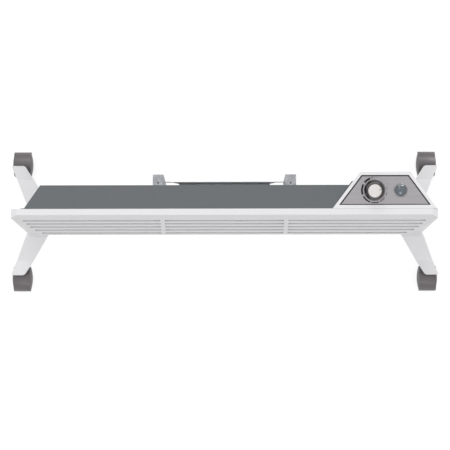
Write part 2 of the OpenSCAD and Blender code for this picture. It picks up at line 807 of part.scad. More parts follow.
// The plan's first corner on the end edge is the arc's last point, unless the plan is inset.
module leg_plan(inset) {
    half = leg_half_plan(inset);
    last = len(half) - 1;
    arc_end = 1 + pad_steps;
    side = [for (i = [0 : last]) if (inset > 0 || i != arc_end) half[i]];
    n = len(side) - 1;
    polygon(concat(side, [for (i = [n - 1 : -1 : 1]) [side[i][0], -side[i][1]]]));
}

// Side profile of a leg: pads, slopes and the flat saddle, a given thickness deep
function leg_profile(depth, lowest) =
    let (xs = [leg_reach + overrun, slope_end, saddle_l])
    let (tops = [pad_h, pad_h, floor_gap])
    let (lows = [for (t = tops) max(lowest, t - depth)])
    concat(
        [for (i = [0 : 2]) [-xs[i], tops[i]]], [for (i = [2 : -1 : 0]) [xs[i], tops[i]]],
        [for (i = [0 : 2]) [xs[i], lows[i]]], [for (i = [2 : -1 : 0]) [-xs[i], lows[i]]]
    );

module leg_band(depth, lowest) {
    rotate([90, 0, 90]) linear_extrude(2 * body_w) polygon(leg_profile(depth, lowest));
}

module leg_right_form() {
    difference() {
        union() {
            intersection() {
                leg_band(leg_wall, 0);
                linear_extrude(body_top) leg_plan(0);
            }
            intersection() {
                leg_band(leg_flange, pad_h - leg_wall);
                linear_extrude(body_top) difference() {
                    leg_plan(0);
                    leg_plan(leg_wall);
                }
            }
        }
        leg_screw_places() cylinder(h = 4 * leg_wall, d = screw_d, center = true);
    }
}

// A leg screw sits halfway between the leg's inner flange and the wall of the case.
function leg_screw_x(y) = (leg_in(y) + leg_lean_in() * leg_wall + case_half(y, case_wall)) / 2;
module leg_screw_places() {
    for (s = [-1, 1], y = leg_screw_ys) translate([s * leg_screw_x(y), y, floor_gap]) children();
}

module leg_screws() {
    color("silver") leg_screw_places() {
        translate([0, 0, -leg_wall - screw_head_h]) cylinder(h = screw_head_h, d = screw_head_d);
        translate([0, 0, -leg_wall]) cylinder(h = leg_wall + 3 * case_wall, d = screw_d - 2 * run_gap);
    }
}

// A frame on the axle of a castor: Y points away from the body, X away from the middle.
module at_castor(c) {
    translate([c[1] * stem_x, c[2] * (stem_y + stem_trail), wheel_r])
        mirror([c[1] < 0 ? 1 : 0, 0, 0]) mirror([0, c[2] < 0 ? 1 : 0, 0]) children();
}

module castor_socket() {
    color("gray") translate([0, -stem_trail, socket_low]) difference() {
        cylinder(h = pad_under - socket_low, r = socket_r);
        translate([0, 0, -overrun]) cylinder(h = pad_under + 2 * overrun, r = stem_d / 2 + run_gap);
    }
}

// The hood is an arched shell on a central web, with a boss for the stem.
module castor_hood() {
    color("gray") difference() {
        union() {
            rotate([90, 0, 90]) linear_extrude(hood_w, center = true) hood_arc(hood_in);
            rotate([90, 0, 90]) linear_extrude(2 * hub_in, center = true) hood_arc(0);
            rotate([0, 90, 0]) cylinder(h = 2 * hub_in, r = hub_r, center = true);
            translate([0, -stem_trail, -hub_r]) cylinder(h = socket_low - fit_gap + hub_r, r = boss_r);
        }
        rotate([0, 90, 0]) cylinder(h = hood_w, r = axle_d / 2 + run_gap, center = true);
        translate([0, -stem_trail, socket_low - fit_gap]) cylinder(h = wheel_d, r = socket_r + fit_gap);
        translate([0, -stem_trail, stem_low]) cylinder(h = wheel_d, r = stem_d / 2 + run_gap);
    }
}

// The arc of the hood in the plane of a wheel, from hood_start up and over to hood_end
module hood_arc(inner) {
    steps = 6;
    far = 2 * hood_out;
    difference() {
        intersection() {
            circle(r = hood_out, $fn = 96);
            polygon(concat([[0, 0]], [for (i = [0 : steps])
                let (a = hood_start + (hood_end - hood_start) * i / steps) [far * cos(a), far * sin(a)]]));
        }
        if (inner > 0) circle(r = inner, $fn = 96);
    }
}

module castor_stem() {
    color("silver") translate([0, -stem_trail, stem_low])
        cylinder(h = pad_under - fit_gap - stem_low, d = stem_d);
}

module castor_axle() {
    reach = tread_out + wheel_bulge / 2;
    color("silver") rotate([0, 90, 0]) cylinder(h = 2 * reach, d = axle_d, center = true);
}

// Ribs from hub to rim in a wheel's hollow inner side, sunk a little below the tread's edge
module wheel_ribs(rim) {
    start = hub_r - rib_wall / 2;
    low = tread_in + rib_sink;
    for (i = [0 : rib_count - 1]) rotate([i * 360 / rib_count, 0, 0])
        translate([low, -rib_wall / 2, start])
            cube([tread_out - tread_w / 4 - low, rib_wall, rim + rib_wall / 2 - start]);
}

// Half profile of a wheel: hub, hollow inner side, rounded tread and a domed outer face
module castor_wheel(s) {
    reach = tread_out + wheel_bulge / 2 + fit_gap;
    rim = wheel_r - rim_wall;
    edge = rim_round;
    dome_r = wheel_r - 1.5 * edge;
    dome = (dome_r * dome_r + wheel_bulge * wheel_bulge) / (2 * wheel_bulge);
    dome_angle = asin(dome_r / dome);
    steps = 6;
    bore = axle_d / 2 + run_gap;
    color("dimgray") mirror([s < 0 ? 1 : 0, 0, 0]) {
        rotate([0, 90, 0]) rotate_extrude($fn = 96) polygon(concat(
            [[bore, hub_in + fit_gap], [hub_r, hub_in + fit_gap], [hub_r, tread_out - tread_w / 3]],
            [[rim, tread_out - tread_w / 3], [rim, tread_in], [wheel_r - edge, tread_in]],
            [[wheel_r, tread_in + edge], [wheel_r, tread_out - edge], [wheel_r - edge, tread_out]],
            [for (i = [0 : steps]) let (a = dome_angle * (1 - i / steps))
                [dome * sin(a), tread_out + wheel_bulge - dome * (1 - cos(a))]],
            [[0, reach], [bore, reach]]
        ));
        wheel_ribs(rim);
    }
}

// An upright is a channel: a wall plate, two sides that reach the case, a top tab and hooks.
module wall_upright(s) {
    half = upright_w / 2;
    top = upright_top;
    reach = wall_gap - fit_gap;
    difference() {
        translate([s * upright_x, 0, 0]) {
            translate([-half, wall_y - bracket_wall, top - upright_l])
                cube([upright_w, bracket_wall, upright_l]);
            translate([-half, wall_y - reach, top - bracket_wall]) cube([upright_w, reach, bracket_wall]);
            for (t = [-1, 1]) translate([t * (half - bracket_wall / 2) - bracket_wall / 2, 0, 0])
                rotate([90, 0, 90]) linear_extrude(bracket_wall) upright_side(top, reach);
        }
        for (z = wall_hole_zs()) translate([s * upright_x, wall_y, z]) rotate([90, 0, 0])
            cylinder(h = 4 * bracket_wall, d = wall_hole_d, center = true);
        translate([s * upright_x, wall_y - wall_gap * 0.6, top])
            cylinder(h = 4 * bracket_wall, d = tab_hole_d, center = true);
    }
}
function wall_hole_zs() = [upright_top - wall_hole_inset, upright_top - upright_l + wall_hole_inset];

// Side of an upright, deep at its two hooks and shallow between them
module upright_side(top, reach) {
    shallow = wall_y - wall_gap / 2;
    front = wall_y - reach;
    low = top - upright_l;
    difference() {
        translate([front, low]) square([reach, upright_l]);
        translate([front - overrun, hook_z(1) + hook_w])
            square([shallow - front, hook_z(0) - hook_z(1) - 2 * hook_w]);
    }
    for (i = [0, 1]) {
        inside = inner_back - hook_reach;
        translate([inside, hook_z(i)]) square([front - inside + bracket_wall, hook_w / 2]);
        translate([inside, hook_z(i) - hook_lip])
            square([inner_back - inside - fit_gap - bracket_wall, hook_lip + hook_w / 2]);
    }
}

// The crossbar is a strip on the wall, deeper between its ends, with a stiffening flange below.
module wall_crossbar() {
    top = upright_top - cross_drop;
    low = top - cross_h;
    neck = top - cross_h / 4;
    reach = upright_x - upright_w / 2 - fit_gap;
    deep = reach * 0.88;
    foot = deep - cross_flange;
    tip = foot - cross_flange / 2;
    color("silver") {
        translate([0, wall_y, 0]) rotate([90, 0, 0]) linear_extrude(bracket_wall)
            polygon([[-reach, top], [reach, top], [reach, neck], [deep, neck], [foot, low],
                [-foot, low], [-deep, neck], [-reach, neck]]);
        translate([0, 0, low]) linear_extrude(bracket_wall)
            polygon([[-foot, wall_y], [foot, wall_y], [tip, wall_y - cross_flange],
                [-tip, wall_y - cross_flange]]);
    }
}

front_panel();
rear_case();
panel_screws();
air_baffle();
color("silver") element_bracket(-1);  // element_bracket_left
color("silver") element_bracket(1);  // element_bracket_right
element_insulators();
element_tube();
element_fins();
thermal_cutout();
tip_over_switch();
terminal_block();
cable_gland();
control_housing();
control_fascia();
fascia_seal();
thermostat_body();
thermostat_nut();
thermostat_shaft();
knob_grip();
knob_cap();
sensor_capillary();
button_bezel();
button_lens();
power_switch();
color("white") mirror([1, 0, 0]) leg_right_form();  // leg_left
color("white") leg_right_form();  // leg_right
leg_screws();
color("silver") wall_upright(-1);  // wall_upright_left
color("silver") wall_upright(1);  // wall_upright_right
wall_crossbar();
for (c = CORNERS) {
    at_castor(c) castor_socket();
    at_castor(c) castor_hood();
    at_castor(c) castor_stem();
    at_castor(c) castor_axle();
    at_castor(c) castor_wheel(-1);
    at_castor(c) castor_wheel(1);
}
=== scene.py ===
# %% [markdown]
# # A wall panel convector heater
# This lesson dresses a heater that is already built in CAD. The CAD parts come in as a fixed
# frame: they keep their places and shapes, and every new piece rides on one of their bodies.
# What is left to do in Blender is what CAD does badly: finishes, printed marks, screw heads,
# soft edges, light and a camera.

# %% Load the frame
import json
import math
import bmesh
import bpy
from mathutils import Matrix, Vector


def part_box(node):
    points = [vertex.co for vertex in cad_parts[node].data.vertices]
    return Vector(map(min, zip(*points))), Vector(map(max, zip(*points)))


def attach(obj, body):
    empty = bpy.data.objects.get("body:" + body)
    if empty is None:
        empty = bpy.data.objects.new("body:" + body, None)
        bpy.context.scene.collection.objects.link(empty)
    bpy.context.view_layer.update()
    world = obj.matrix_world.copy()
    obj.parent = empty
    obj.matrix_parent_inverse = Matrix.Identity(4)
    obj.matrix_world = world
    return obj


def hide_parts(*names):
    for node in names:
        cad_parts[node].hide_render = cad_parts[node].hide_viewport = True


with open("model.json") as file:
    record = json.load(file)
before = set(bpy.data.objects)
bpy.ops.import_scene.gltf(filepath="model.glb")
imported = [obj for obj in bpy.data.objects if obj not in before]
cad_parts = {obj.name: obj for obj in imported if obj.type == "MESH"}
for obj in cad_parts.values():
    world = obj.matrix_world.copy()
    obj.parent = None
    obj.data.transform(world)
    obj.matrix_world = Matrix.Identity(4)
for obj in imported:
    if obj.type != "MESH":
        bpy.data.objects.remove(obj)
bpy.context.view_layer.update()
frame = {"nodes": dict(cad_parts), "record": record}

MM = 0.001

# %% [markdown]
# ## The camera
# The photograph looks almost straight down. Upright edges of the heater all point at one spot
# in the picture, just below the middle, and that spot lies right under the camera. How much
# smaller the castors look than the same size on the lid gives the distance. So the camera
# comes first: with the right camera, each difference that is left is a real one.

# %% Place the camera
CAMERA_PLACE = Vector((0.004, -0.3945, 5.100))
CAMERA_AIM = Vector((0.001, -0.0439, 0.500))
CAMERA_LENS, SENSOR_WIDTH = 190.3, 36      # both in mm
CAMERA_ROLL = math.radians(-0.10)

camera_data = bpy.data.cameras.new("studio_camera")
camera_data.lens = CAMERA_LENS
camera_data.sensor_width = SENSOR_WIDTH
camera = bpy.data.objects.new("studio_camera", camera_data)
bpy.context.scene.collection.objects.link(camera)
bpy.context.scene.camera = camera
ahead = (CAMERA_AIM - CAMERA_PLACE).normalized()
right = ahead.cross(Vector((0, 1, 0))).normalized()
turned = Matrix((right, right.cross(ahead), -ahead)).transposed().to_4x4()
camera.matrix_world = (Matrix.Translation(CAMERA_PLACE) @ turned
                       @ Matrix.Rotation(CAMERA_ROLL, 4, "Z"))
print("camera distance in m:", round((CAMERA_AIM - CAMERA_PLACE).length, 2))

# %% [markdown]
# ## Colours and nodes
# Colours are written as hex values, as a paint chart or a picture editor gives them. Blender
# works in linear light, so one function turns them round. A second small function adds a
# shader node: a value is set on its socket, and a socket of another node is linked to it.
# A third one makes a material with an empty tree, ready for such nodes.

# %% Three helpers
def linear(code):
    """Turn an sRGB hex colour into linear red, green, blue and alpha."""
    parts = [int(code[i:i + 2], 16) / 255 for i in (0, 2, 4)]
    return [c / 12.92 if c <= 0.04045 else ((c + 0.055) / 1.055) ** 2.4 for c in parts] + [1.0]


def add_node(tree, kind, sockets=None, **settings):
    """Add a node; sockets maps input names to plain values or to outputs to link from."""
    made = tree.nodes.new(kind)
    for name, value in settings.items():
        setattr(made, name, value)
    for name, value in (sockets or {}).items():
        if isinstance(value, bpy.types.NodeSocket):
            tree.links.new(value, made.inputs[name])
        else:
            made.inputs[name].default_value = value
    return made


def empty_material(name):
    """Make a material without any nodes; gives back the material and its tree."""
    material = bpy.data.materials.new(name)
    material.use_nodes = True
    material.node_tree.nodes.clear()
    return material, material.node_tree


print("mid grey 808080 in linear light:", round(linear("808080")[0], 3))

# %% [markdown]
# ## How a finish is put together
# Most finishes here share a plan: a Principled shader whose colour drifts a little between two
# close shades, and a fine grain that lifts the surface. The grain of a coat or a moulding is
# a known size in millimetres, so the noise scale is one over that size. Real grain of 0.1 mm
# would vanish in a picture where a pixel covers 2 mm, so it is drawn somewhat coarser.
# Three sizes in millimetres describe each finish: drift_mm is how far apart lighter and darker
# patches lie, grain_mm is the size of the grain and lift_mm is how high it stands.

# %% A finish with drifting colour and a grain
BUMP_STRENGTH = 0.5


def finish(name, shades, drift_mm, grain_mm, lift_mm, roughness, swing=0.05,
           stretch=(1, 1, 1), **shader_values):
    """Make a material; shades are two hex colours and swing is how far roughness moves."""
    material, tree = empty_material(name)
    place = add_node(tree, "ShaderNodeTexCoord")
    local = add_node(tree, "ShaderNodeMapping", {
        "Vector": place.outputs["Object"], "Scale": stretch})
    drift = add_node(tree, "ShaderNodeTexNoise", {
        "Vector": local.outputs["Vector"], "Scale": 1 / (drift_mm * MM), "Detail": 3.0})
    grain = add_node(tree, "ShaderNodeTexNoise", {
        "Vector": local.outputs["Vector"], "Scale": 1 / (grain_mm * MM), "Detail": 2.0})
    colour = add_node(tree, "ShaderNodeMix", {"Factor": drift.outputs["Fac"]}, data_type="RGBA")
    colour.inputs["A"].default_value, colour.inputs["B"].default_value = map(linear, shades)
    shine = add_node(tree, "ShaderNodeMapRange", {
        "Value": drift.outputs["Fac"], "To Min": roughness - swing, "To Max": roughness + swing})
    bump = add_node(tree, "ShaderNodeBump", {
        "Height": grain.outputs["Fac"], "Strength": BUMP_STRENGTH,
        "Distance": lift_mm * MM})
    shader = add_node(tree, "ShaderNodeBsdfPrincipled", {
        "Base Color": colour.outputs["Result"], "Roughness": shine.outputs["Result"],
        "Normal": bump.outputs["Normal"]})
    for socket, value in shader_values.items():
        shader.inputs[socket.replace("_", " ")].default_value = value
    add_node(tree, "ShaderNodeOutputMaterial", {"Surface": shader.outputs["BSDF"]})
    return material


print("a finish has a drift, a grain and a bump of strength", BUMP_STRENGTH)

# %% [markdown]
# ## Powder-coated steel
# The front panel, its lip and the legs are pressed steel, sprayed with polyester powder and
# baked. The powder flows into a skin with a faint orange peel, a wave of about 1.5 mm, and a
# satin shine. The case behind has the same coat in dark grey, a shade rougher, so that it
# shows no glare around the louvres.

# %% Make the two powder coats
white_coat = finish("white_powder_coated_steel", ("E9E8EA", "EDECEE"), drift_mm=60,
                    grain_mm=1.5, lift_mm=0.02, roughness=0.42, IOR=1.5)
grey_coat = finish("grey_powder_coated_steel", ("5E6366", "63686B"), drift_mm=45,
                   grain_mm=1.2, lift_mm=0.04, roughness=0.5, IOR=1.5)
print("coats:", white_coat.name, grey_coat.name)

# %% [markdown]
# ## Moulded plastics
# The control housing is ABS from a finely spark-eroded mould, which gives it an even, soft
# shine. The castors are glass-filled nylon: the fibres at the skin leave a coarser grain, and
# a highlight on it is broad and dull. The switches, the gland and the fascia's seal are black
# nylon, duller still. The knob's cap is ABS from a polished mould, a warm white with the
# clearest shine of them. The insulators and the terminal block are glazed steatite: the glaze
# is smooth as glass, so they gleam in the dark of the case.

# %% Make the plastics
PLASTIC_IOR = 1.53
white_abs = finish("white_abs", ("EDECEE", "F1F0F2"), drift_mm=50, grain_mm=0.8,
                   lift_mm=0.012, roughness=0.36, IOR=PLASTIC_IOR)
ivory_abs = finish("ivory_abs", ("E3DFDC", "E8E4E1"), drift_mm=12, grain_mm=0.6,
                   lift_mm=0.01, roughness=0.3, IOR=PLASTIC_IOR)
grey_nylon = finish("grey_nylon", ("635E60", "6B6668"), drift_mm=18, grain_mm=0.9,
                    lift_mm=0.03, roughness=0.42, IOR=PLASTIC_IOR)
wheel_nylon = finish("wheel_nylon", ("5C585A", "646062"), drift_mm=14, grain_mm=0.9,
                     lift_mm=0.03, roughness=0.46, IOR=PLASTIC_IOR)
black_nylon = finish("black_nylon", ("1B1C1E", "232426"), drift_mm=10, grain_mm=0.7,
                     lift_mm=0.02, roughness=0.5, IOR=PLASTIC_IOR)
steatite = finish("glazed_steatite", ("E6DFCD", "EEE7D6"), drift_mm=8, grain_mm=1.0,
                  lift_mm=0.01, roughness=0.22, IOR=1.6)
print("plastics and ceramic ready, plastic IOR", PLASTIC_IOR)

# %% [markdown]
# ## Metals
# The silver fascia is a thin plate brushed from left to right, so its grain is stretched a
# long way along X, and so is its shine. The real lines are some 0.1 mm apart and are drawn at
# 0.5 mm. The plate is lacquered, so it is metallic only in part. The knob's skirt is chrome
# with a dark colour that drifts a little: a painted reflection of a dark room, on top of the
# mirror image that the metal gives. Screws, castor stems and the thermostat are zinc plated,
# which is bright with a cold tinge. The button's bezel is satin nickel, with a soft shine and
# no clear mirror image. The fins are mill aluminium, with the rolls' fine lines along them.
# The element's tube and its brackets are a nickel steel that turns brown-grey with its first
# heat. The sensor's tube is drawn copper, smooth and warm in colour. A metal keeps the default
# IOR.

# %% Make the plain metals
BRUSHED_ALONG_X, ROLLED_ALONG_Z = (0.02, 1, 1), (1, 1, 0.05)
brushed_fascia = finish("brushed_silver_plate", ("9C999C", "ABA8AB"), drift_mm=3, grain_mm=0.5,
                        lift_mm=0.01, roughness=0.4, stretch=BRUSHED_ALONG_X, Metallic=0.6)
# Painted reflection: the skirt's chrome is coloured dark to stand for a dark room in its mirror.
chrome_painted_dark = finish("chrome_plate_painted_dark", ("595958", "656564"), drift_mm=15, grain_mm=3.0,
                     lift_mm=0.001, roughness=0.14, swing=0.03, Metallic=1.0)
zinc_plate = finish("zinc_plated_steel", ("BFC3C8", "CFD2D6"), drift_mm=4, grain_mm=0.8,
                    lift_mm=0.005, roughness=0.3, Metallic=1.0)
fin_metal = finish("mill_aluminium", ("CBCCCD", "D8D9DA"), drift_mm=6, grain_mm=0.5,
                   lift_mm=0.008, roughness=0.36, stretch=ROLLED_ALONG_Z, Metallic=1.0)
hot_steel = finish("heat_tinted_steel", ("5E564E", "7A6F63"), drift_mm=30, grain_mm=1.0,
                   lift_mm=0.01, roughness=0.45, Metallic=0.9)
copper = finish("drawn_copper", ("B9744F", "CD8A66"), drift_mm=8, grain_mm=0.8,
                lift_mm=0.004, roughness=0.3, Metallic=1.0)
satin_nickel = finish("satin_nickel_plate", ("88898B", "939496"), drift_mm=6, grain_mm=0.5,
                      lift_mm=0.004, roughness=0.3, Metallic=1.0)
print("metals ready")

# %% [markdown]
# ## Galvanised steel
# The wall bracket is cut from sheet that was dipped in molten zinc. As the zinc froze, it grew
# crystals, which show as a patchwork of flat spangles some 6 mm across, each with a shine of
# its own. A Voronoi texture makes such a patchwork, and drives colour and roughness alike. The
# crossbar lies in the case's shadow and gets a lighter copy of the steel, with smaller
# spangles: the lighter colour is painted light that lifts that shadow.

# %% Make the galvanised steel
ZINC_ROUGHNESS = (0.36, 0.56)


def galvanised(name, spangle_mm, shades):
    material, tree = empty_material(name)
    place = add_node(tree, "ShaderNodeTexCoord")
    cells = add_node(tree, "ShaderNodeTexVoronoi", {
        "Vector": place.outputs["Object"], "Scale": 1 / (spangle_mm * MM)})
    tone = add_node(tree, "ShaderNodeSeparateColor", {"Color": cells.outputs["Color"]})
    colour = add_node(tree, "ShaderNodeMix", {"Factor": tone.outputs["Red"]}, data_type="RGBA")
    colour.inputs["A"].default_value, colour.inputs["B"].default_value = map(linear, shades)
    shine = add_node(tree, "ShaderNodeMapRange", {
        "Value": tone.outputs["Green"], "To Min": ZINC_ROUGHNESS[0],
        "To Max": ZINC_ROUGHNESS[1]})
    shader = add_node(tree, "ShaderNodeBsdfPrincipled", {
        "Base Color": colour.outputs["Result"], "Roughness": shine.outputs["Result"],
        "Metallic": 0.7})
    add_node(tree, "ShaderNodeOutputMaterial", {"Surface": shader.outputs["BSDF"]})
    return material


galvanised_steel = galvanised("galvanised_steel", spangle_mm=6, shades=("9A9CA0", "B1B3B6"))
# Painted light: the crossbar's copy is coloured lighter to lift the case's shadow on it.
zinc_sheet_painted_lighter = galvanised("galvanised_steel_painted_lighter", spangle_mm=4,
                               shades=("C8CACC", "D8D9DB"))
print("zinc roughness from and to:", ZINC_ROUGHNESS)

# %% [markdown]
# ## The control deck's own frame
# The deck slopes up to the rear by ten degrees, and the knob, the button and the printed scale
# all sit on it. A local frame saves a lot of thought: X along the heater, Y up the slope from
# its front edge, Z straight out of the deck. One matrix turns it into the shared frame, and a
# second one does the same for a frame that starts on the knob's axis.

# %% The deck frame
DECK_TILT = math.radians(10)
CONTROL_ROW = 35 * MM


def middle_x(node):
    low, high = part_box(node)
    return (low[0] + high[0]) / 2


BODY_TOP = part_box("rear_case")[1][2]
HOUSING_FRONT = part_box("control_housing")[0][1]
KNOB_X, BUTTON_X = middle_x("knob_grip"), middle_x("button_lens")
deck = Matrix.Translation((0, HOUSING_FRONT, BODY_TOP)) @ Matrix.Rotation(DECK_TILT, 4, "X")
knob_frame = deck @ Matrix.Translation((KNOB_X, CONTROL_ROW, 0))
button_seat = deck @ Vector((BUTTON_X, CONTROL_ROW, 0))
print("knob seat in mm:", [round(v / MM, 1) for v in knob_frame.translation])

# %% [markdown]
# ## The button's lens
# The power button is a domed acrylic lens, tinted blue-grey, over a small lamp. Under the
# smooth dome lie fine rings, the steps of a flat lens, which show as darker and lighter
# circles. A wave texture in the deck's frame draws them: at scale 1 it has 20 radians in a
# metre, so a whole ring takes tau / 20 of a metre. The rim is painted darker, as painted shade
# in the gap between the lens and its bezel. A clear coat on top is the acrylic skin, with an
# IOR of 1.49, and gives the sharp highlight.

# %% Make the lens
RING_PITCH = 1.8 * MM
# The rim's painted shade starts and ends at these radii from the lens's middle.
RIM_SHADE_START, RIM_SHADE_END = 9.4 * MM, 10.2 * MM
WAVE_RADIANS = 20
ACRYLIC_IOR = 1.49
tinted_acrylic, tree = empty_material("tinted_acrylic")
place = add_node(tree, "ShaderNodeTexCoord")
local = add_node(tree, "ShaderNodeMapping", {
    "Vector": place.outputs["Object"], "Location": button_seat,
    "Rotation": (DECK_TILT, 0, 0)}, vector_type="TEXTURE")
rings = add_node(tree, "ShaderNodeTexWave", {
    "Vector": local.outputs["Vector"], "Scale": 1 / (WAVE_RADIANS * RING_PITCH) * math.tau,
    "Distortion": 0.0}, wave_type="RINGS", rings_direction="Z")
tint = add_node(tree, "ShaderNodeMix", {"Factor": rings.outputs["Fac"]}, data_type="RGBA")
tint.inputs["A"].default_value = linear("323A45")
tint.inputs["B"].default_value = linear("66727F")
across = add_node(tree, "ShaderNodeVectorMath", {
    0: local.outputs["Vector"], 1: (1, 1, 0)}, operation="MULTIPLY")
radius = add_node(tree, "ShaderNodeVectorMath", {0: across.outputs["Vector"]}, operation="LENGTH")
rim = add_node(tree, "ShaderNodeMapRange", {
    "Value": radius.outputs["Value"], "From Min": RIM_SHADE_START, "From Max": RIM_SHADE_END})
# Painted shade: towards the rim the lens's colour is mixed with a dark blue-grey.
rim_painted_shade = add_node(tree, "ShaderNodeMix", {
    "Factor": rim.outputs["Result"], "A": tint.outputs["Result"]}, data_type="RGBA")
rim_painted_shade.inputs["B"].default_value = linear("1C2128")
shader = add_node(tree, "ShaderNodeBsdfPrincipled", {
    "Base Color": rim_painted_shade.outputs["Result"], "Roughness": 0.25, "IOR": ACRYLIC_IOR,
    "Coat Weight": 1.0, "Coat Roughness": 0.03, "Coat IOR": ACRYLIC_IOR})
add_node(tree, "ShaderNodeOutputMaterial", {"Surface": shader.outputs["BSDF"]})
print("lens rings every", RING_PITCH / MM, "mm")

# %% [markdown]
# ## Finishes on the CAD parts
# Each CAD part names a material slot in the record, such as enamel_white. A table from slot to
# finish dresses all parts in one loop, and a part that is added later gets its finish too. A
# short second table holds the parts whose finish differs from that of their slot.

# %% Dress the CAD parts
FINISHES = {
    "enamel_white": white_coat, "case_grey": grey_coat, "housing_white": white_abs,
    "fascia_silver": brushed_fascia, "knob_chrome": chrome_painted_dark, "cap_ivory": ivory_abs,
    "lens_glass": tinted_acrylic, "castor_grey": grey_nylon, "wheel_grey": wheel_nylon,
    "dark_plastic": black_nylon, "ceramic": steatite, "element_steel": hot_steel,
    "fin_aluminium": fin_metal, "copper": copper, "zinc_steel": zinc_plate,
    "galvanised_steel": galvanised_steel,
}
slot_of = {}
for part in frame["record"]["subparts"]:
    slot_of[part["node"]] = part["material_slot"]
for name, part in frame["nodes"].items():
    part.data.materials.clear()
    part.data.materials.append(FINISHES[slot_of[name]])
# The crossbar's finish here is painted lighter against the case's shadow.
OWN_FINISHES = {
    "button_bezel": satin_nickel, "wall_crossbar": zinc_sheet_painted_lighter,
    "element_bracket_left": hot_steel, "element_bracket_right": hot_steel,
}
for name, own_finish in OWN_FINISHES.items():
    frame["nodes"][name].data.materials[0] = own_finish
print("dressed parts:", len(frame["nodes"]))

# %% [markdown]
# ## Soft edges
# Folded sheet never has a knife edge: its bends are rounded, and so are the corners of moulded
# parts. CAD leaves them sharp, so modifiers soften them here. Weld closes the mesh, Decimate
# joins the triangles of each flat face, and Bevel rounds the edges that are left. The radius
# depends on the piece: thin sheet folds tightly, the thick legs and the mouldings less so.

# %% Round the edges of the large parts
WELD_WITHIN = 0.005 * MM
FLAT_WITHIN, SHARP_ABOVE = math.radians(0.5), math.radians(35)
BEVEL_STEPS = 3


def soften(node, radius_mm):
    part = frame["nodes"][node]
    weld = part.modifiers.new("weld", "WELD")
    weld.merge_threshold = WELD_WITHIN
    flat = part.modifiers.new("flat_faces", "DECIMATE")
    flat.decimate_type = "DISSOLVE"
    flat.angle_limit = FLAT_WITHIN
    bevel = part.modifiers.new("soft_edge", "BEVEL")
    bevel.width = radius_mm * MM
    bevel.segments = BEVEL_STEPS
    bevel.limit_method = "ANGLE"
    bevel.angle_limit = SHARP_ABOVE
    bevel.harden_normals = True


SOFT_EDGES_MM = {
    "leg_left": 0.9, "leg_right": 0.9, "control_housing": 0.9, "front_panel": 0.6,
    "rear_case": 0.5, "wall_crossbar": 0.4, "wall_upright_left": 0.4,
    "wall_upright_right": 0.4, "knob_cap": 0.4,
}
for corner in ("front_left", "front_right", "rear_left", "rear_right"):
    SOFT_EDGES_MM["castor_hood_" + corner] = 0.7
for name, radius in SOFT_EDGES_MM.items():
    soften(name, radius)
print("softened:", ", ".join(SOFT_EDGES_MM))

# %% [markdown]
# ## Building new pieces
# Each new piece is a mesh of points and faces, with a finish and a body to ride on. One
# function does this for all of them, and shades the mesh smooth except where its faces meet at
# a clear angle. A second one finds a point on a circle, and a third spins a profile of radius
# and height round an axis, which suits rings.

# %% Three mesh helpers
def mesh_piece(name, points, faces, material, slot, body, smooth_angle=40):
    mesh = bpy.data.meshes.new(name)
    mesh.from_pydata([tuple(point) for point in points], [], faces)
    work = bmesh.new()
    work.from_mesh(mesh)
    bmesh.ops.recalc_face_normals(work, faces=work.faces)
    for edge in work.edges:
        edge.smooth = edge.is_manifold and edge.calc_face_angle() < math.radians(smooth_angle)
    for face in work.faces:
        face.smooth = True
    work.to_mesh(mesh)
    work.free()
    mesh.materials.append(material)
    piece = bpy.data.objects.new(name, mesh)
    bpy.context.scene.collection.objects.link(piece)
    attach(piece, body)
    return piece


def on_circle(radius, turn, height=0):
    return Vector((radius * math.cos(turn), radius * math.sin(turn), height))


def spun(profile, place, steps):
    """Points and faces of a closed profile of (radius, height) pairs, spun round place's Z."""
    points, faces = [], []
    count = len(profile)
    for step in range(steps):
        turn = math.tau * step / steps
        for radius, height in profile:
            points.append(place @ on_circle(radius, turn, height))
    for step in range(steps):
        a, b = step * count, (step + 1) % steps * count
        for i in range(count):
            j = (i + 1) % count
            faces.append((a + i, a + j, b + j, b + i))
    return points, faces


print("mesh helpers ready")

# %% [markdown]
# ## Folded hems on the louvres
# The lower edge of each pressed slot is folded inwards and a little down. The hem stiffens the
# sheet, hides the sharp cut and catches the light that falls through the slot. The outer ends
# of each row are read from the panel's own points: those that lie on the sloping face, at the
# height of a slot's lower edge. Two bars divide each row in three. Each hem is a bar with four
# corners, given as how far they lie behind the face and how high from the slot's edge.

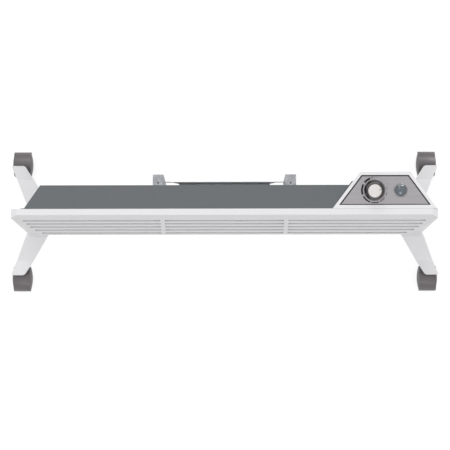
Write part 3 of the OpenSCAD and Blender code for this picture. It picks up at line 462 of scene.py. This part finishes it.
# %% Fold the hems
LIP_FRONT = -24 * MM
FACE_RUN, FACE_DROP = 29.5 * MM, 130 * MM  # the face comes this far forward over this drop
FIRST_DROP, ROW_PITCH, ROWS = 38.5 * MM, 20 * MM, 5
SLOT_HALF = 4.75 * MM
BAR_SIDES = [-125.5 * MM, -116.5 * MM, 116.5 * MM, 125.5 * MM]
HEM_CORNERS_MM = ((1.4, -0.05), (1.4, -1.1), (3.6, -2.1), (3.9, -1.1))
ON_FACE, ON_EDGE = 0.3 * MM, 0.05 * MM
face_angle = math.atan2(FACE_RUN, FACE_DROP)
points, faces = [], []
for row in range(ROWS):
    drop = FIRST_DROP + ROW_PITCH * row
    row_frame = (Matrix.Translation((0, LIP_FRONT - FACE_RUN * drop / FACE_DROP, BODY_TOP - drop))
                 @ Matrix.Rotation(-face_angle, 4, "X"))
    back = row_frame.inverted()
    corners = [back @ vertex.co for vertex in frame["nodes"]["front_panel"].data.vertices]
    edge_xs = [at.x for at in corners
               if abs(at.y) < ON_FACE and abs(at.z + SLOT_HALF) < ON_EDGE]
    ends = [min(edge_xs), *BAR_SIDES, max(edge_xs)]
    for left_end, right_end in zip(ends[::2], ends[1::2]):
        first = len(points)
        for x in (left_end, right_end):
            for y, z in HEM_CORNERS_MM:
                points.append(row_frame @ Vector((x, y * MM, -SLOT_HALF + z * MM)))
        faces += [tuple(range(first, first + 4)), tuple(range(first + 4, first + 8))]
        faces += [(first + k, first + (k + 1) % 4, first + 4 + (k + 1) % 4, first + 4 + k)
                  for k in range(4)]
mesh_piece("louvre_hems", points, faces, white_coat, "enamel_white", "heater")
print("hems:", len(points) // 8)

# %% [markdown]
# ## The printed scale
# Round the knob seven arcs are screen printed in black. They get thinner from the warm end to
# the cool end. A texture could draw them too, but a mesh keeps its edges sharp from close by.
# Each arc is a thin closed plate, bent round the knob's axis. The ink is some 0.03 mm thick and
# is drawn twice as thick, so that it stands clearly proud of the fascia. The table says where
# each arc starts and ends, in degrees, and how wide it is in millimetres. Matt ink reflects
# little, so its specular level is half the usual one.

# %% Print the arcs
INK_LIFT = 0.06 * MM
ARC_RADIUS = 24.4 * MM
ARC_STEPS = 14
ARCS = [(110, 142, 3.8), (152, 200, 3.5), (209, 250, 2.7), (256, 290, 1.9), (297, 323, 1.3),
        (335, 351, 1.0), (363, 377, 0.7)]
black_ink = finish("screen_ink", ("111012", "18171A"), drift_mm=2, grain_mm=0.4,
                   lift_mm=0.004, roughness=0.5, IOR=1.5, Specular_IOR_Level=0.25)
points, faces = [], []
for start, stop, width in ARCS:
    first = len(points)
    for i in range(ARC_STEPS + 1):
        turn = math.radians(start + (stop - start) * i / ARC_STEPS)
        for side, lift in ((-0.5, -1), (0.5, -1), (0.5, 1), (-0.5, 1)):
            reach = ARC_RADIUS + side * width * MM
            points.append(knob_frame @ on_circle(reach, turn, lift * INK_LIFT))
    for i in range(ARC_STEPS):
        a, b = first + 4 * i, first + 4 * i + 4
        faces += [(a + k, a + (k + 1) % 4, b + (k + 1) % 4, b + k) for k in range(4)]
    faces += [(first, first + 1, first + 2, first + 3),
              tuple(first + 4 * ARC_STEPS + k for k in range(4))]
mesh_piece("dial_arcs", points, faces, black_ink, "dark_plastic", "heater")
print("printed arcs:", len(ARCS))

# %% [markdown]
# ## The printed border
# A black line is printed along the fascia's edge and makes the outline of the seal bolder. At
# the front, where the seal shows most, it is thin. The plate's four corners are read from its
# own points in the deck's frame. Each side of the inner outline is the outer side moved
# inwards, and each inner corner is where two such sides meet.

# %% Print the border
BORDERS = [0.3 * MM, 1.0 * MM, 1.0 * MM, 1.0 * MM]   # front, right, rear and left side
ALONG_EDGE = 1.0 * MM
to_deck = deck.inverted()
plate = [to_deck @ vertex.co for vertex in frame["nodes"]["control_fascia"].data.vertices]
plate_top = max(at.z for at in plate)
front_y, rear_y = min(at.y for at in plate), max(at.y for at in plate)
front_xs, rear_xs = ([at.x for at in plate if abs(at.y - y) < ALONG_EDGE]
                     for y in (front_y, rear_y))
outer = [Vector((min(front_xs), front_y)), Vector((max(front_xs), front_y)),
         Vector((max(rear_xs), rear_y)), Vector((min(rear_xs), rear_y))]
moved = []
for start, stop, width in zip(outer, outer[1:] + outer[:1], BORDERS):
    along = (stop - start).normalized()
    inwards = Vector((-along.y, along.x)) * width
    moved.append((start + inwards, along))
inner = []
for (start, along), (start_2, along_2) in zip(moved[-1:] + moved[:-1], moved):
    away = start_2 - start
    inner.append(start + along * (away.cross(along_2) / along.cross(along_2)))
points = [deck @ Vector((at.x, at.y, plate_top + lift)) for lift in (-INK_LIFT, INK_LIFT)
          for at in outer + inner]
faces = []
for i in range(4):
    j = (i + 1) % 4
    faces += [(i, j, 4 + j, 4 + i), (8 + i, 8 + j, 12 + j, 12 + i), (i, j, 8 + j, 8 + i),
              (4 + i, 4 + j, 12 + j, 12 + i)]
mesh_piece("dial_border", points, faces, black_ink, "dark_plastic", "heater")
print("border corners in mm:", [[round(v / MM, 1) for v in at] for at in outer])

# %% [markdown]
# ## Numbers on the dial
# Two plain numbers, one at each end of the scale, say which end is which. A text object is
# turned into a thin mesh, which other programs can read too, and its points are moved into the
# knob's frame. A digit of the built-in font is 0.7 of its size high.

# %% Print the numbers
DIGIT_SHARE = 0.7


def printed_number(text, height_mm, at_mm):
    curve = bpy.data.curves.new("number_" + text, "FONT")
    curve.body = text
    curve.size = height_mm / DIGIT_SHARE * MM
    curve.align_x = "CENTER"
    curve.align_y = "CENTER"
    curve.extrude = INK_LIFT
    curve.resolution_u = 4
    holder = bpy.data.objects.new("number_" + text, curve)
    mesh = bpy.data.meshes.new_from_object(holder)
    bpy.data.objects.remove(holder)
    bpy.data.curves.remove(curve)
    shift = Vector((at_mm[0], at_mm[1], 0)) * MM
    points = [knob_frame @ (vertex.co + shift) for vertex in mesh.vertices]
    faces = [tuple(face.vertices) for face in mesh.polygons]
    bpy.data.meshes.remove(mesh)
    return mesh_piece("dial_number_" + text, points, faces, black_ink, "dark_plastic", "heater")


printed_number("30", height_mm=3.2, at_mm=(-4.6, 24.0))
printed_number("5", height_mm=3.0, at_mm=(25.9, 12.0))
print("numbers printed")

# %% [markdown]
# ## The dial's raised ring
# Just outside the knob's skirt a low ring is pressed up out of the plate. Its rounded back
# catches the light all round, which sets the dark knob off from the plate. Half an ellipse on a
# flat foot, spun round the knob's axis, makes the whole ring at once.

# %% Press the ring
RING_IN, RING_OUT, RING_RISE = 20.4 * MM, 22.2 * MM, 0.5 * MM
RING_STEPS, HALF_TURN_STEPS = 96, 6
ring_middle, ring_half = (RING_IN + RING_OUT) / 2, (RING_OUT - RING_IN) / 2
ring_profile = [(RING_IN, -INK_LIFT), (RING_OUT, -INK_LIFT)]
for i in range(HALF_TURN_STEPS + 1):
    turn = math.pi * i / HALF_TURN_STEPS
    ring_profile.append((ring_middle + ring_half * math.cos(turn), RING_RISE * math.sin(turn)))
mesh_piece("dial_ring", *spun(ring_profile, knob_frame, RING_STEPS), brushed_fascia,
           "fascia_silver", "heater")
print("dial ring:", len(ring_profile), "profile points")

# %% [markdown]
# ## The knob's mark
# The cap has a small notch, filled with grey enamel, that points at the scale. Enamel dries
# with a smooth skin, so it shines a little more than the ink. The fill is a bar with rounded
# ends that comes up to about the notch's rim, and it rides on the knob.

# %% Fill the notch
CAP_RADIUS, KNOB_HEIGHT, POINTER_TURN = 13 * MM, 15 * MM, math.radians(11)
MARK_OUTER, MARK_INNER = CAP_RADIUS * 0.88, CAP_RADIUS * 0.64
MARK_HALF = CAP_RADIUS / 24
MARK_SINK, MARK_RISE = 0.55 * MM, 0.1 * MM
mark_frame = knob_frame @ Matrix.Rotation(POINTER_TURN, 4, "Z")
grey_paint = finish("grey_enamel_paint", ("6E6B6A", "7B7877"), drift_mm=2, grain_mm=0.5,
                    lift_mm=0.004, roughness=0.35, IOR=1.5)
outline = []
for centre, start in ((MARK_OUTER, -math.pi / 2), (MARK_INNER, math.pi / 2)):
    for i in range(HALF_TURN_STEPS + 1):
        round_end = on_circle(MARK_HALF, start + math.pi * i / HALF_TURN_STEPS)
        outline.append((centre + round_end.x, round_end.y))
count = len(outline)
points = [mark_frame @ Vector((x, y, z)) for z in (KNOB_HEIGHT - MARK_SINK, KNOB_HEIGHT + MARK_RISE)
          for x, y in outline]
faces = [tuple(range(count)), tuple(range(count, 2 * count))]
faces += [(i, (i + 1) % count, count + (i + 1) % count, count + i) for i in range(count)]
mesh_piece("knob_mark", points, faces, grey_paint, "dark_plastic", "knob")
print("mark length in mm:", round((MARK_OUTER - MARK_INNER + 2 * MARK_HALF) / MM, 1))

# %% [markdown]
# ## Screws with a cross recess
# The panel and the legs are held by pan-head screws. The height of a head follows a formula: a
# low dome, less a cross that sinks into its middle. A boolean could cut the cross out of a
# plain head, but a formula shades more cleanly and needs no second shape. It is written in
# shares of the head's radius and height, so that it serves both sizes of screw.

# %% The formula of a head
SCREW_RINGS, SCREW_SPOKES = 14, 48
ARM_LENGTH, ARM_HALF = 0.62, 0.15          # of the cross, in shares of the head's radius
END_SLOPE, SIDE_SLOPE = 0.1, 0.05          # how far its walls take to go down
CROSS_DEPTH, DOME_DROP, CENTRE_HEIGHT = 0.6, 0.8, 0.35


def ramp(inside, slope):
    """Zero outside an edge, one from slope inside it, and a straight rise between."""
    return min(max(inside, 0) / slope, 1)


def head_share(x, y):
    """Height of the head, as a share of its full height, at a place in shares of its radius."""
    far, near = max(abs(x), abs(y)), min(abs(x), abs(y))
    sunk = ramp(ARM_LENGTH - far, END_SLOPE) * ramp(ARM_HALF - near, SIDE_SLOPE)
    return math.sqrt(1 - DOME_DROP * math.hypot(x, y) ** 4) - CROSS_DEPTH * sunk


print("height at the rim as a share:", round(head_share(1, 0), 2))

# %% [markdown]
# ## From the formula to a mesh
# A head is a net of rings and spokes round its middle point, and each point is as high as the
# formula says. The net is closed by the head's side, the shank and the shank's end.

# %% Make the screws
HEAD_HEIGHT, SHANK_RADIUS = 2 * MM, 1.95 * MM
HEAD_SMOOTH = 30


def cross_screw(place, head_radius, shank_length):
    """Points and faces of one screw; its head starts at Z 0 and its shank goes down."""
    turns = [math.tau * spoke / SCREW_SPOKES for spoke in range(SCREW_SPOKES)]
    points, faces = [place @ Vector((0, 0, HEAD_HEIGHT * CENTRE_HEIGHT))], []
    for ring in range(1, SCREW_RINGS + 1):
        for turn in turns:
            at = on_circle(ring / SCREW_RINGS, turn)
            height = HEAD_HEIGHT * head_share(at.x, at.y)
            points.append(place @ Vector((at.x * head_radius, at.y * head_radius, height)))
    for radius, height in ((head_radius, 0), (SHANK_RADIUS, 0), (SHANK_RADIUS, -shank_length)):
        points += [place @ on_circle(radius, turn, height) for turn in turns]
    for spoke in range(SCREW_SPOKES):
        after = (spoke + 1) % SCREW_SPOKES
        faces.append((0, 1 + spoke, 1 + after))
        for ring in range(SCREW_RINGS + 2):
            a, b = 1 + ring * SCREW_SPOKES, 1 + (ring + 1) * SCREW_SPOKES
            faces.append((a + spoke, b + spoke, b + after, a + after))
    last = 1 + (SCREW_RINGS + 2) * SCREW_SPOKES
    faces.append(tuple(last + spoke for spoke in range(SCREW_SPOKES)))
    return points, faces


def screw_set(name, node, places, head_radius, shank_length):
    """Four screws as one piece, which takes the place of the plain CAD screws."""
    points, faces = [], []
    for place in places:
        more_points, more_faces = cross_screw(place, head_radius, shank_length)
        faces += [tuple(len(points) + i for i in face) for face in more_faces]
        points += more_points
    piece = mesh_piece(name, points, faces, zinc_plate, "zinc_steel", "heater", HEAD_SMOOTH)
    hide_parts(node)
    return len(places)


print("head height in mm:", HEAD_HEIGHT / MM)

# %% [markdown]
# ## Where the screws sit
# The CAD screws show where the new ones go. Four of them share one part, so its points are
# first sorted by side, and the middle of each group is one screw. The panel's screws come from
# behind the flange, so their heads face the rear. Those of the legs come from below, and their
# heads face the floor.

# %% Put the screws in
PANEL_HEAD, PANEL_SHANK = 2.7 * MM, 2.7 * MM   # radius of the head, length of the shank
LEG_HEAD, LEG_SHANK = 3 * MM, 5.6 * MM


def middle(values):
    values = list(values)
    return (min(values) + max(values)) / 2


def four_centres(node, axis):
    """Middles of a node's four solids, which differ in the sign of X and along one axis."""
    corners = [vertex.co for vertex in frame["nodes"][node].data.vertices]
    divide = middle(corner[axis] for corner in corners)
    groups = {}
    for corner in corners:
        groups.setdefault((corner.x > 0, corner[axis] > divide), []).append(corner)
    return [Vector([middle(corner[i] for corner in group) for i in range(3)])
            for group in groups.values()]


facing_rear = Matrix.Rotation(-math.pi / 2, 4, "X")
facing_down = Matrix.Rotation(math.pi, 4, "X")
panel_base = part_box("panel_screws")[1][1] - HEAD_HEIGHT
panel_places = [Matrix.Translation((at.x, panel_base, at.z)) @ facing_rear
                for at in four_centres("panel_screws", 2)]
leg_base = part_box("leg_screws")[0][2] + HEAD_HEIGHT
leg_places = [Matrix.Translation((at.x, at.y, leg_base)) @ facing_down
              for at in four_centres("leg_screws", 1)]
made = screw_set("panel_cross_screws", "panel_screws", panel_places, PANEL_HEAD, PANEL_SHANK)
made += screw_set("leg_cross_screws", "leg_screws", leg_places, LEG_HEAD, LEG_SHANK)
print("cross screws:", made)

# %% [markdown]
# ## Sky and lamps
# The studio has a soft, even sky with three wide lamps: one overhead, one in front and one
# behind. Their levels are set so that a white surface renders about as white as its colour
# says. To the camera, and in reflections, the sky itself is white. A fourth lamp shows only in
# reflections and gives the lens and the knob their glint. A lamp of (pi times its distance)
# squared watts lights a white surface that faces it to white, and each lamp's level is a share
# of that.

# %% Light the studio
SKY_LEVEL = 0.70
# Name, height and bearing in degrees, level, width in metres, and whether only gloss shows it.
LAMPS = [("overhead", 68, 125, 0.06, 2.5, False), ("front", 42, -88, 0.16, 2.5, False),
         ("rear", 40, 100, 0.18, 2.5, False), ("glint", 31, 62, 0.50, 2.2, True)]
LAMP_DISTANCE = 6.0
FULL_POWER = (math.pi * LAMP_DISTANCE) ** 2


def seen_white(tree):
    """One where a ray comes from the camera or from a mirror or glass, else zero."""
    path = add_node(tree, "ShaderNodeLightPath")
    either = add_node(tree, "ShaderNodeMath", {
        0: path.outputs["Is Camera Ray"], 1: path.outputs["Is Glossy Ray"]},
        operation="MAXIMUM")
    return add_node(tree, "ShaderNodeMath", {
        0: either.outputs["Value"], 1: path.outputs["Is Transmission Ray"]},
        operation="MAXIMUM").outputs["Value"]


world = bpy.data.worlds.new("studio")
world.use_nodes = True
bpy.context.scene.world = world
tree = world.node_tree
tree.nodes.clear()
level = add_node(tree, "ShaderNodeMapRange", {
    "Value": seen_white(tree), "To Min": SKY_LEVEL, "To Max": 1.0})
sky = add_node(tree, "ShaderNodeBackground", {
    "Color": linear("FFFFFF"), "Strength": level.outputs["Result"]})
add_node(tree, "ShaderNodeOutputWorld", {"Surface": sky.outputs["Background"]})

for name, height, bearing, share, width, glossy_only in LAMPS:
    lamp_data = bpy.data.lights.new(name + "_lamp", "AREA")
    lamp_data.shape = "DISK"
    lamp_data.size = width
    lamp_data.energy = share * FULL_POWER
    lamp = bpy.data.objects.new(name + "_lamp", lamp_data)
    climb = math.radians(height)
    towards = on_circle(math.cos(climb), math.radians(bearing), math.sin(climb))
    lamp.location = CAMERA_AIM + LAMP_DISTANCE * towards
    lamp.rotation_euler = towards.to_track_quat("Z", "Y").to_euler()
    lamp.visible_diffuse = not glossy_only
    bpy.context.scene.collection.objects.link(lamp)
print("lamps:", len(LAMPS), "sky at", SKY_LEVEL)

# %% [markdown]
# ## The floor
# The floor is a wide sheet of grey paper. It has to look white and still keep the heater's soft
# shadow, so a white glow is added to the light that falls on it. Only the camera and
# reflections see the glow. For all other light the floor stays grey, so that it doesn't light
# up the heater from below.

# %% Lay the floor
FLOOR_SIZE = 40.0
FLOOR_GLOW = 0.78
FLOOR_TONE = "A4A4A4"
floor_mesh = bpy.data.meshes.new("studio_floor")
half = FLOOR_SIZE / 2
floor_mesh.from_pydata([(-half, -half, 0), (half, -half, 0), (half, half, 0), (-half, half, 0)],
                       [], [(0, 1, 2, 3)])
floor = bpy.data.objects.new("studio_floor", floor_mesh)
bpy.context.scene.collection.objects.link(floor)
pale_paper, tree = empty_material("pale_studio_paper")
lit = add_node(tree, "ShaderNodeBsdfDiffuse", {"Color": linear(FLOOR_TONE)})
glow_level = add_node(tree, "ShaderNodeMath", {0: seen_white(tree), 1: FLOOR_GLOW},
                      operation="MULTIPLY")
glow = add_node(tree, "ShaderNodeEmission", {
    "Color": linear("FFFFFF"), "Strength": glow_level.outputs["Value"]})
both = add_node(tree, "ShaderNodeAddShader", {
    0: lit.outputs["BSDF"], 1: glow.outputs["Emission"]})
add_node(tree, "ShaderNodeOutputMaterial", {"Surface": both.outputs["Shader"]})
floor_mesh.materials.append(pale_paper)
bpy.context.scene.view_settings.view_transform = "Standard"
print("floor width in m:", FLOOR_SIZE)
